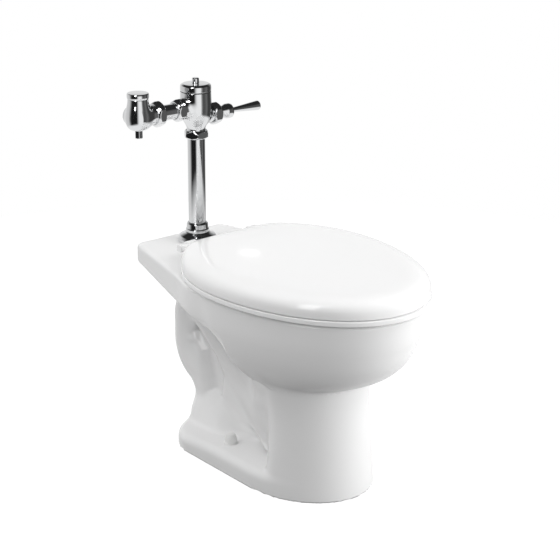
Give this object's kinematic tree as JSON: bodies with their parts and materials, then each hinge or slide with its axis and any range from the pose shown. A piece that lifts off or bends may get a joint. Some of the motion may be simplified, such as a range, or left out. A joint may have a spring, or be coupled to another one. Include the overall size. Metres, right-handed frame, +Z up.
{
  "type": "flush-valve toilet",
  "caption": "Floor-standing white china toilet bowl with seat, closed lid and an exposed chrome flush valve on a tube at the back.",
  "frame": {"origin": "centre of the floor outlet, on the floor", "axes": "+Z up, -Y to the front of the bowl, +Y to the wall, +X to the handle side"},
  "size_m": [0.3758, 0.6123, 0.6613],
  "materials": {
    "china": "glossy white glaze",
    "seat_plastic": "smooth gloss white",
    "white_plastic": "moulded satin white",
    "bumper_plastic": "soft moulded white",
    "chrome": "polished chrome plate",
    "handle_chrome": "polished chrome plate",
    "brass": "plain turned brass",
    "steel": "plain stainless steel",
    "rubber": "matt black rubber",
    "black_plastic": "moulded black"
  },
  "bodies": {
    "base": {"bolt_cap_washers": "white_plastic", "bolt_caps": "white_plastic", "bowl_basin": "china", "bowl_deck": "china", "bowl_pedestal": "china", "bowl_rim": "china", "bowl_trapway": "china", "cap_gasket": "rubber", "flush_tube": "chrome", "handle_gasket": "rubber", "handle_nut": "chrome", "handle_socket": "chrome", "hinge_pins": "steel", "hinge_post_left": "seat_plastic", "hinge_post_right": "seat_plastic", "main_seat": "brass", "plunger_bush": "brass", "plunger_spring": "steel", "seat_bolt_nuts": "white_plastic", "seat_bolt_washers": "white_plastic", "seat_bolts": "steel", "slip_gasket": "rubber", "slip_ring": "white_plastic", "spud": "brass", "spud_bushing": "rubber", "spud_cover": "chrome", "spud_lock_nut": "brass", "spud_nut": "chrome", "spud_washer": "white_plastic", "stop_body": "chrome", "stop_cap": "chrome", "stop_nut": "chrome", "stop_packing": "rubber", "tail_gasket": "rubber", "tailpiece": "chrome", "tailpiece_nut": "chrome", "tailpiece_oring": "rubber", "tube_nut": "chrome", "vacuum_breaker": "rubber", "valve_body": "chrome", "valve_cap": "chrome"},
    "seat": {"seat_ring": "seat_plastic", "seat_bumpers": "bumper_plastic"},
    "lid": {"lid": "seat_plastic", "lid_bumpers": "bumper_plastic"},
    "handle": {"handle_lever": "handle_chrome"},
    "plunger": {"plunger": "steel"},
    "piston": {"piston": "black_plastic", "piston_ring": "rubber", "piston_seat_washer": "rubber"},
    "relief": {"relief_stem": "black_plastic"},
    "regulator": {"regulating_screw": "chrome"},
    "stop_screw": {"stop_screw": "chrome"},
    "stop_plug": {"stop_plug": "brass"}
  },
  "joints": [
    {"name": "seat_hinge", "type": "hinge", "parent": "base", "child": "seat", "pos_m": [0, 0.12, 0.378], "axis": [-1, 0, 0], "range_deg": [0, 92]},
    {"name": "lid_hinge", "type": "hinge", "parent": "seat", "child": "lid", "pos_m": [0, 0.12, 0.378], "axis": [1, 0, 0], "range_deg": [-92, 0]},
    {"name": "handle_tilt", "type": "hinge", "parent": "base", "child": "handle", "pos_m": [0.046, 0.194, 0.6], "axis": [0, 1, 0], "range_deg": [0, 10], "stiffness_Nm_per_rad": 2, "springref_deg": -11.46},
    {"name": "plunger_slide", "type": "slide", "parent": "base", "child": "plunger", "axis": [-1, 0, 0], "range_m": [0, 0.003], "deforming": ["plunger_spring"]},
    {"name": "piston_lift", "type": "slide", "parent": "base", "child": "piston", "axis": [0, 0, 1], "range_m": [0, 0.0055]},
    {"name": "relief_tilt", "type": "hinge", "parent": "piston", "child": "relief", "pos_m": [0, 0.194, 0.6229], "axis": [0, 1, 0], "range_deg": [0, 5.84]},
    {"name": "regulator_turn", "type": "hinge", "parent": "base", "child": "regulator", "pos_m": [0, 0.194, 0.65], "axis": [0, 0, 1], "range_deg": [-180, 180]},
    {"name": "stop_screw_turn", "type": "hinge", "parent": "base", "child": "stop_screw", "pos_m": [-0.126, 0.194, 0.577], "axis": [0, 0, 1], "range_deg": [0, 1440]},
    {"name": "stop_plug_slide", "type": "slide", "parent": "base", "child": "stop_plug", "axis": [0, 0, -1], "range_m": [0, 0.0195]}
  ],
  "couplings": [
    {"joint": "plunger_slide", "follows": "handle_tilt", "m_per_rad": 0.017189},
    {"joint": "relief_tilt", "follows": "handle_tilt", "ratio": 0.58442},
    {"joint": "stop_screw_turn", "follows": "stop_plug_slide", "rad_per_m": 1288.9}
  ]
}
